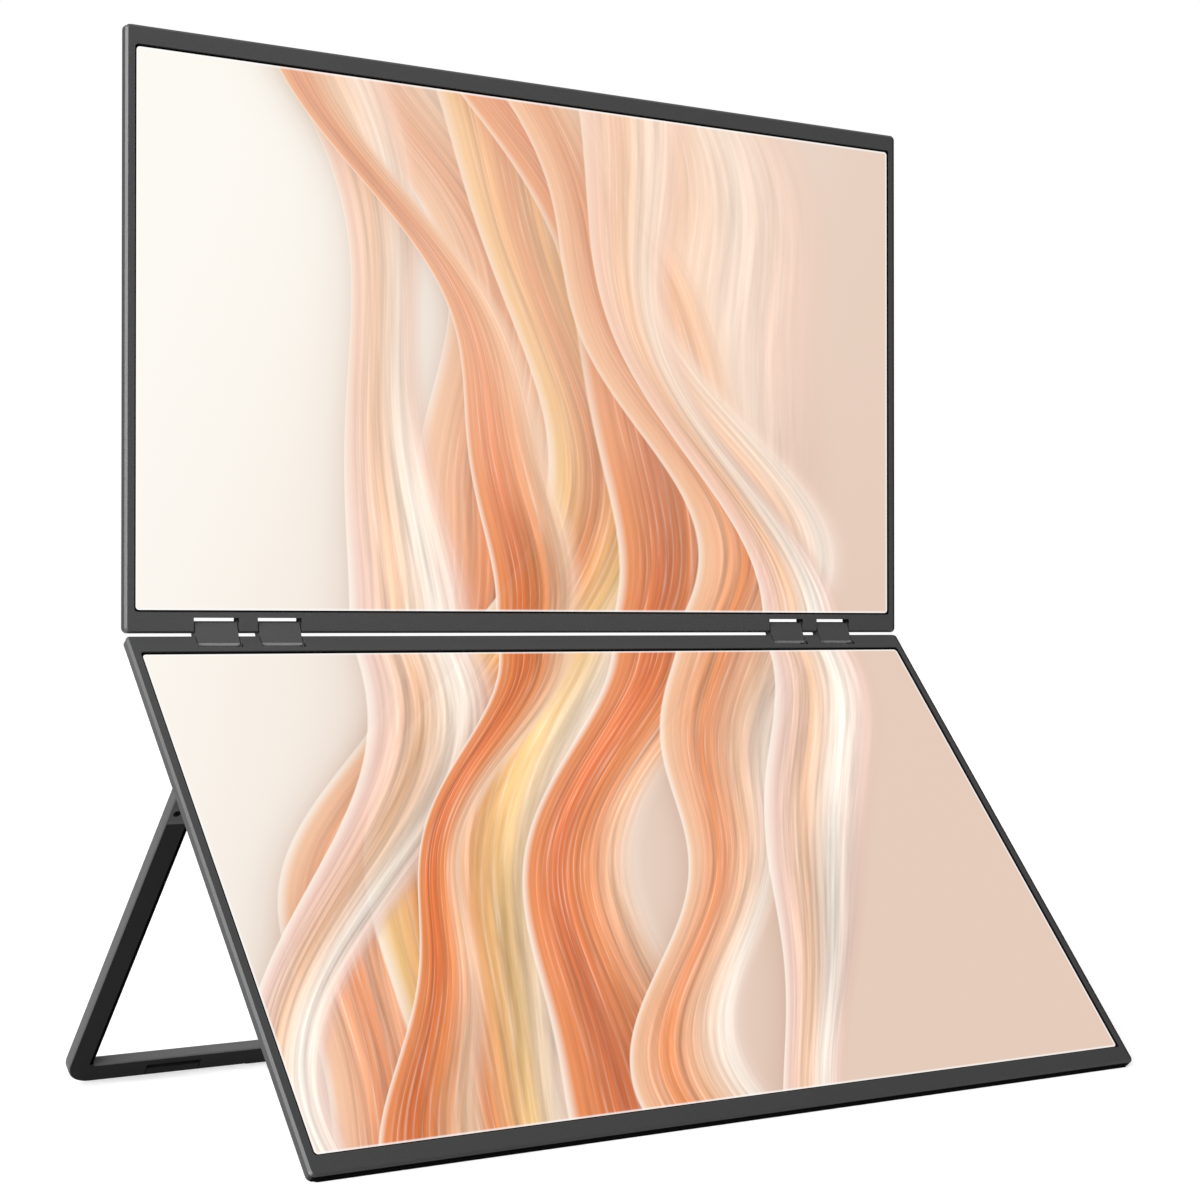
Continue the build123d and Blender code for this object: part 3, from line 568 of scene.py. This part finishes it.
def layBand(tree, below, across, along, band):
    edge = band["base"] + silk["shift"]
    for size, length, phase in band["sways"]:
        edge = calc(tree, "MULTIPLY_ADD", wave(tree, along, length, phase), size, edge)
    size, swing, length, phase = band["width"]
    half = size * swing / 2
    width = calc(tree, "MULTIPLY_ADD", wave(tree, along, length, phase), half, size - half)
    inset = calc(tree, "SUBTRACT", across, edge)
    share = calc(tree, "DIVIDE", inset, width)
    held = calc(tree, "MAXIMUM", calc(tree, "MINIMUM", share, 1.0), 0.0)

    # Colour across the band, softened up the upper screen
    stops = [(place, silkColours[name]) for place, name in bandRamps[band["ramp"]]]
    colour = colourRamp(tree, held, stops)
    soften = fade(tree, along, *silk["softSpan"], 0.0, silk["soften"])
    colour = blendColour(tree, soften, colour, silkColours["peach"])

    # Threads that run along the band, crowded towards its left edge
    crowded = product(tree, calc(tree, "POWER", held, silk["crowding"]), band["threads"])
    strands = addNode(tree, "ShaderNodeCombineXYZ")
    feed(tree, strands.inputs["X"], crowded)
    feed(tree, strands.inputs["Y"], product(tree, along, silk["threadPull"]))
    strands.inputs["Z"].default_value = band["base"]
    coarse, fine = [
        fade(tree, grain(tree, strands.outputs[0], *noise), *silk["threadRange"], -1.0, 1.0, "LINEAR")
        for noise in (silk["coarseNoise"], silk["fineNoise"])
    ]
    body = plateau(tree, share, silk["bodyIn"], silk["bodyOut"])
    tone = calc(tree, "MULTIPLY_ADD", product(tree, coarse, body), silk["threadDepth"], 1.0)
    tone = calc(tree, "MULTIPLY_ADD", product(tree, fine, body), silk["fineDepth"], tone)

    # Pale ribs between the threads
    turns = product(tree, crowded, silk["ribs"] * 2 * math.pi)
    turns = calc(tree, "MULTIPLY_ADD", coarse, silk["ribDrift"], turns)
    crest = fade(tree, calc(tree, "SINE", turns), -1.0, 1.0, 0.0, 1.0, "LINEAR")
    ribs = calc(tree, "POWER", crest, silk["ribPower"])
    ribs = product(tree, ribs, body, fade(tree, fine, *silk["ribRange"], *silk["ribShare"]))

    # Slow folds, then all of it laid over what lies below, with a shadow beside its left edge
    fold = fade(tree, wave(tree, along, length / silk["foldsPerSwing"], phase * 2), *silk["foldRange"])
    fold = product(tree, fold, fade(tree, share, *silk["foldIn"]))
    tone = product(tree, tone, calc(tree, "MULTIPLY_ADD", fold, -silk["foldDepth"], 1.0))
    tone = fade(tree, soften, 0.0, 1.0, tone, 1.0, "LINEAR")
    colour = blendColour(tree, product(tree, ribs, silk["ribDepth"]), colour, silkColours["cream"])
    away = calc(tree, "DIVIDE", calc(tree, "MINIMUM", inset, 0.0), silk["shadowReach"])
    shadow = product(tree, calc(tree, "EXPONENT", away), silk["shadowDepth"])
    shadow = product(tree, shadow, calc(tree, "LESS_THAN", inset, 0.0))
    shaded = blendColour(tree, shadow, below, silkColours["shadow"], "MULTIPLY")
    cover = product(tree, plateau(tree, share, silk["coverIn"], silk["coverOut"]), band["opacity"])
    return blendColour(tree, cover, shaded, scaleColour(tree, colour, tone))


def silkGroup():
    group = bpy.data.node_groups.new("silk bands", "ShaderNodeTree")
    group.interface.new_socket("Place", in_out="INPUT", socket_type="NodeSocketVector")
    group.interface.new_socket("Picture", in_out="OUTPUT", socket_type="NodeSocketColor")
    entry = addNode(group, "NodeGroupInput")
    split = splitPlace(group, entry.outputs[0])
    across, along = split["X"], split["Z"]
    slope = calc(group, "MULTIPLY_ADD", along, silk["slope"], across)
    rightShare = fade(group, slope, *silk["slopeSpan"])
    drawn = blendColour(group, rightShare, silkColours["left"], silkColours["right"])
    for band in bands:
        drawn = layBand(group, drawn, across, along, band)
    lift = fade(group, along, *silk["softSpan"], 0.0, silk["lift"])
    drawn = blendColour(group, lift, drawn, silkColours["cream"])
    leave = addNode(group, "NodeGroupOutput")
    group.links.new(drawn, leave.inputs[0])
    return group


# Display glass: matte front over the lit picture, with a black border. Lengths are in millimetres.
glassLook = {
    "margin": 1.0, "farLedge": 2.4, "corner": 1.3, "rim": 1.0, "rimEnd": 1 / 3, "rimGlow": 0.65,
    "border": (0.004, 0.004, 0.0045, 1.0), "roughness": (0.30, 0.40), "specular": 0.01,
    "speckleScale": 6.0, "bump": 0.04, "bumpDepth": 0.00002,
}
perMetre = 1000


def screenFinish(name, picture, toFlat, low, high, look):
    material, tree, shader = newFinish(name)
    location, rotation, _ = toFlat.decompose()
    place = objectPlace(tree, location * perMetre, rotation.to_euler(), (perMetre,) * 3)
    split = splitPlace(tree, place)
    outsides, fromCorner = [], 0.0
    for axis, start, end in (("X", low[0], high[0]), ("Z", low[1], high[1])):
        aside = calc(tree, "ABSOLUTE", calc(tree, "SUBTRACT", split[axis], (start + end) / 2))
        outside = calc(tree, "SUBTRACT", aside, (end - start) / 2)
        outsides.append(outside)
        beyond = calc(tree, "MAXIMUM", calc(tree, "ADD", outside, look["corner"]), 0.0)
        fromCorner = calc(tree, "MULTIPLY_ADD", beyond, beyond, fromCorner)
    toEdge = calc(tree, "MAXIMUM", *outsides)
    lit = calc(tree, "LESS_THAN", fromCorner, look["corner"] ** 2)
    image = addNode(tree, "ShaderNodeGroup", node_tree=picture)
    tree.links.new(place, image.inputs[0])
    glow = fade(tree, toEdge, -look["rim"], -look["rim"] * look["rimEnd"], 0.0, look["rimGlow"])
    shown = blendColour(tree, glow, image.outputs[0], white)
    tree.links.new(scaleColour(tree, shown, lit), shader.inputs["Emission Color"])
    shader.inputs["Emission Strength"].default_value = 1.0
    shader.inputs["Base Color"].default_value = look["border"]
    shader.inputs["Specular IOR Level"].default_value = look["specular"]
    speckle = grain(tree, place, look["speckleScale"])
    tree.links.new(spread(tree, speckle, *look["roughness"]), shader.inputs["Roughness"])
    bumpFrom(tree, shader, speckle, look["bump"], look["bumpDepth"])
    return material


picture = silkGroup()
glassLow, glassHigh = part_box("upper_lcd_glass")
activeX = glassHigh.x * perMetre - glassLook["margin"]
nearEdge = (glassLow.z - upperAxis.z) * perMetre + glassLook["margin"]
farEdge = (glassHigh.z - upperAxis.z) * perMetre - glassLook["farLedge"]
screens = {
    "upper_lcd_glass": screenFinish(
        "upper screen", picture, upperFlat, (-activeX, nearEdge), (activeX, farEdge), glassLook),
    "lower_lcd_glass": screenFinish(
        "lower screen", picture, lowerFlat, (-activeX, -farEdge), (activeX, -nearEdge), glassLook),
}
print("screens lit,", len(bands), "bands")

# Every CAD node takes the first finish that has a word of its name
nodeSlots = {
    "dark_screw": ("screws",),
    "chip_black": ("chips", "tongue", "switches", "speaker"),
    "upper_frame": ("upper_bezel", "upper_back_cover"),
    "lower_frame": ("lower_bezel", "lower_back_cover"),
    "links": ("hinge_link",),
    "stand": ("stand_frame",),
    "leaf": ("stand_leaf",),
    "foot": ("lower_feet",),
    "rubber_black": ("stand_feet", "stand_bumpers"),
    "steel": ("hinge_blocks", "hinge_shafts", "stand_clip", "shell"),
    "bronze": ("hinge_bushes",),
    "clear_acrylic": ("light_guide",),
    "board": ("led_bar", "source_board", "main_board", "key_board"),
    "housing_plastic": ("rear_housing",),
    "key_plastic": ("power_key", "menu_key"),
}


def finishFor(name):
    if name in screens:
        return screens[name]
    return next(finishes[slot] for slot, words in nodeSlots.items() if any(word in name for word in words))


for name, node in nodes.items():
    node.data.materials.clear()
    node.data.materials.append(finishFor(name))
print("CAD nodes finished")

# Vertices this close are joined, and edges that turn by less than this are smooth
mergeWithin, smoothTurn = 1e-6, math.radians(35)


# Boxes of a CAD node's separate solids, in a part's upright frame
def solidsOf(name, toFlat):
    bm = bmesh.new()
    bm.from_mesh(nodes[name].data)
    bmesh.ops.remove_doubles(bm, verts=bm.verts, dist=mergeWithin)
    boxes, met = [], set()
    for first in bm.verts:
        if first in met:
            continue
        met.add(first)
        places, waiting = [], [first]
        while waiting:
            vert = waiting.pop()
            places.append(toFlat @ vert.co)
            fresh = [edge.other_vert(vert) for edge in vert.link_edges]
            fresh = [other for other in fresh if other not in met]
            met.update(fresh)
            waiting.extend(fresh)
        boxes.append((Vector(map(min, *places)), Vector(map(max, *places))))
    bm.free()
    return boxes


# Turns a mesh drawn in a part's upright frame into a finished piece that moves with that part
def addPiece(name, bm, toFlat, finish, body):
    bmesh.ops.recalc_face_normals(bm, faces=bm.faces)
    for edge in bm.edges:
        edge.smooth = len(edge.link_faces) == 2 and edge.calc_face_angle() < smoothTurn
    for face in bm.faces:
        face.smooth = True
    bm.transform(toFlat.inverted())
    mesh = bpy.data.meshes.new(name)
    bm.to_mesh(mesh)
    bm.free()
    mesh.materials.append(finish)
    piece = bpy.data.objects.new(name, mesh)
    bpy.context.scene.collection.objects.link(piece)
    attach(piece, body)
    return piece


# Screws with a rounded rim and a tapered cross recess, in place of the plain ones. Shares are of the head's
# radius, apart from the rim's bend, which is a share of the rim, and the taper, a share of the cross.
crossScrew = {
    "sides": 40, "headHeight": 0.0005, "rim": 0.12, "rimBend": 0.3, "shank": 0.52, "tip": 0.36,
    "arm": 0.60, "armHalf": 0.13, "recess": 0.28, "taper": 0.70,
}


# Scales vertices about the screw's middle line and sinks them below its face
def drawDown(bm, verts, top, share, depth, outward):
    bmesh.ops.scale(bm, vec=(share, 1, share), space=Matrix.Translation(-top), verts=verts)
    bmesh.ops.translate(bm, vec=(0, -outward * depth, 0), verts=verts)


def crossScrewAt(bm, low, high, outward):
    middle = (low + high) / 2
    radius = (high.x - low.x) / 2
    length = high.y - low.y
    top = Vector((middle.x, high.y if outward > 0 else low.y, middle.z))
    rim, shank = crossScrew["rim"] * radius, crossScrew["shank"] * radius
    bend, head = crossScrew["rimBend"] * rim, crossScrew["headHeight"]

    # The body is drawn down from the face, ring by ring, and closed at its tip
    size, depth = radius - rim, 0.0
    lying = Matrix.Translation(top) @ Matrix.Rotation(math.pi / 2, 4, "X")
    circle = bmesh.ops.create_circle(bm, segments=crossScrew["sides"], radius=size, matrix=lying)
    faceRim = list(dict.fromkeys(edge for vert in circle["verts"] for edge in vert.link_edges))
    edges = faceRim
    for nextSize, nextDepth in (
        (radius - bend, bend), (radius, rim), (radius, head), (shank, head),
        (shank, length - rim), (crossScrew["tip"] * radius, length),
    ):
        grown = bmesh.ops.extrude_edge_only(bm, edges=edges)["geom"]
        verts = [item for item in grown if isinstance(item, bmesh.types.BMVert)]
        edges = [item for item in grown if isinstance(item, bmesh.types.BMEdge)]
        drawDown(bm, verts, top, nextSize / size, nextDepth - depth, outward)
        size, depth = nextSize, nextDepth
    bmesh.ops.edgeloop_fill(bm, edges=edges)

    # The recess is a cross sunk from the face, and the face fills in around it
    arm, half = crossScrew["arm"] * radius, crossScrew["armHalf"] * radius
    quarter = [(arm, -half), (arm, half), (half, half)]
    cross = []
    for _ in range(4):
        cross += quarter
        quarter = [(-z, x) for x, z in quarter]
    mouth = bm.faces.new([bm.verts.new(top + Vector((x, 0, z))) for x, z in cross])
    mouthRim = list(mouth.edges)
    sunk = bmesh.ops.extrude_face_region(bm, geom=[mouth])["geom"]
    verts = [item for item in sunk if isinstance(item, bmesh.types.BMVert)]
    drawDown(bm, verts, top, crossScrew["taper"], crossScrew["recess"] * radius, outward)
    bmesh.ops.delete(bm, geom=[mouth], context="FACES_ONLY")
    bmesh.ops.triangle_fill(bm, use_beauty=True, edges=faceRim + mouthRim)


screwSets = {
    "housing_screws": (lowerFlat, 1, "lower_display", "dark_screw"),
    "lower_hinge_screws": (lowerFlat, 1, "lower_display", "dark_screw"),
    "upper_hinge_screws": (upperFlat, 1, "upper_display", "dark_screw"),
    "stand_leaf_screws": (standFlat, -1, "stand", "leaf_screw"),
}
for name, (toFlat, outward, body, finish) in screwSets.items():
    bm = bmesh.new()
    for low, high in solidsOf(name, toFlat):
        crossScrewAt(bm, low, high, outward)
    piece = addPiece("cross_" + name, bm, toFlat, finishes[finish], body)
    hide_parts(name)
print("screws cut,", len(screwSets), "sets")

# Gold strips on both faces of the sockets' tongues
contactLook = {
    "colour": (0.66, 0.45, 0.17), "cloudScale": 400.0, "cloudAmount": 0.06,
    "grainScale": 5000.0, "grainAmount": 0.06, "roughness": (0.20, 0.32),
    "bump": 0.05, "bumpDepth": 0.00002, "metallic": 1.0, "specular": 0.5,
}
contactSets = {"usb_c_tongues": ("usb_c_contacts", 12), "hdmi_tongue": ("hdmi_contacts", 10)}
contactSize = {"inset": 0.0005, "proud": 0.00004, "edge": 0.07, "share": 0.5}


def contactStrips(bm, low, high, count):
    width = high.z - low.z
    pitch = width * (1 - 2 * contactSize["edge"]) / (count - 1)
    length = high.x - low.x - 2 * contactSize["inset"]
    for face in (low.y, high.y):
        for i in range(count):
            place = Vector(((low.x + high.x) / 2, face, low.z + width * contactSize["edge"] + i * pitch))
            size = Vector((length, 2 * contactSize["proud"], pitch * contactSize["share"]))
            bmesh.ops.create_cube(bm, size=1.0, matrix=Matrix.LocRotScale(place, None, size))


contactFinish = grainyFinish("gold contacts", contactLook)
for tongues, (name, count) in contactSets.items():
    bm = bmesh.new()
    for low, high in solidsOf(tongues, lowerFlat):
        contactStrips(bm, low, high, count)
    addPiece(name, bm, lowerFlat, contactFinish, "lower_display")
print("contacts laid,", len(contactSets), "sets")

# Floor, lights and camera. The soft light is stronger from the left and from behind.
studio = {
    "floorSize": 30.0, "floorDrop": 0.00005, "floorColour": 0.75, "floorLift": 0.50, "floorBounce": 0.08,
    "skyTop": 0.45, "skySide": 0.25, "skyBelow": 0.02, "skyFade": (-0.15, 0.02),
    "leftLift": 0.40, "backLift": 3.0,
    "keyFrom": (-0.85, -0.42, 0.32), "keySpread": 50.0, "keyStrength": 4.6,
}


def seenDirectly(tree):
    path = addNode(tree, "ShaderNodeLightPath")
    seen = calc(tree, "MAXIMUM", path.outputs["Is Camera Ray"], path.outputs["Is Glossy Ray"])
    return calc(tree, "MAXIMUM", seen, path.outputs["Is Transmission Ray"])


bm = bmesh.new()
bmesh.ops.create_grid(bm, x_segments=1, y_segments=1, size=studio["floorSize"] / 2)
floorMesh = bpy.data.meshes.new("floor")
bm.to_mesh(floorMesh)
bm.free()
floorMesh.transform(Matrix.Translation((0, 0, -studio["floorDrop"])))
floor = bpy.data.objects.new("floor", floorMesh)
bpy.context.scene.collection.objects.link(floor)
floorFinish, tree, shader = newFinish("pale floor")
seen = seenDirectly(tree)
bounce = (studio["floorBounce"],) * 3 + (1.0,)
pale = (studio["floorColour"],) * 3 + (1.0,)
tree.links.new(blendColour(tree, seen, bounce, pale), shader.inputs["Base Color"])
shader.inputs["Roughness"].default_value = 1.0
shader.inputs["Specular IOR Level"].default_value = 0.0
shader.inputs["Emission Color"].default_value = white
tree.links.new(product(tree, seen, studio["floorLift"]), shader.inputs["Emission Strength"])
floorMesh.materials.append(floorFinish)

world = bpy.data.worlds.new("studio")
bpy.context.scene.world = world
world.use_nodes = True
tree = world.node_tree
tree.nodes.clear()
way = splitPlace(tree, addNode(tree, "ShaderNodeTexCoord").outputs["Generated"])
above = fade(tree, way["Z"], 0.0, 1.0, studio["skySide"], studio["skyTop"], "LINEAR")
below = fade(tree, way["Z"], *studio["skyFade"], studio["skyBelow"] / studio["skySide"], 1.0)
leftward = fade(tree, way["X"], -1.0, 1.0, 1 + studio["leftLift"], 1 - studio["leftLift"], "LINEAR")
behind = fade(tree, way["Y"], 0.0, 1.0, 1.0, 1 + studio["backLift"], "LINEAR")
soft = addNode(tree, "ShaderNodeBackground")
tree.links.new(product(tree, above, below, leftward, behind), soft.inputs["Strength"])
backdrop = addNode(tree, "ShaderNodeBackground")
backdrop.inputs["Color"].default_value = white
backdrop.inputs["Strength"].default_value = 1.0
choice = addNode(tree, "ShaderNodeMixShader")
tree.links.new(seenDirectly(tree), choice.inputs[0])
tree.links.new(soft.outputs[0], choice.inputs[1])
tree.links.new(backdrop.outputs[0], choice.inputs[2])
leave = addNode(tree, "ShaderNodeOutputWorld")
tree.links.new(choice.outputs[0], leave.inputs["Surface"])

key = bpy.data.lights.new("key", "SUN")
key.angle = math.radians(studio["keySpread"])
key.energy = studio["keyStrength"]
lamp = bpy.data.objects.new("key", key)
bpy.context.scene.collection.objects.link(lamp)
lamp.rotation_euler = Vector(studio["keyFrom"]).to_track_quat("Z", "Y").to_euler()

# The camera stands off from the lower hinge axis, almost level with it
shot = {
    "fromAxis": Vector((-0.531508, -0.803746, 0.005732)), "heading": -34.62, "rise": 0.542,
    "sensor": 36.0, "lens": 74.86, "shiftY": 0.00255, "nearClip": 0.01,
}
camera = bpy.data.cameras.new("camera")
camera.sensor_fit = "HORIZONTAL"
camera.sensor_width = shot["sensor"]
camera.lens = shot["lens"]
camera.shift_y = shot["shiftY"]
camera.clip_start = shot["nearClip"]
viewer = bpy.data.objects.new("camera", camera)
bpy.context.scene.collection.objects.link(viewer)
viewer.location = lowerAxis + shot["fromAxis"]
viewer.rotation_euler = (math.radians(90 + shot["rise"]), 0, math.radians(shot["heading"]))
bpy.context.scene.camera = viewer
bpy.context.scene.view_settings.view_transform = "Standard"
print("studio set")
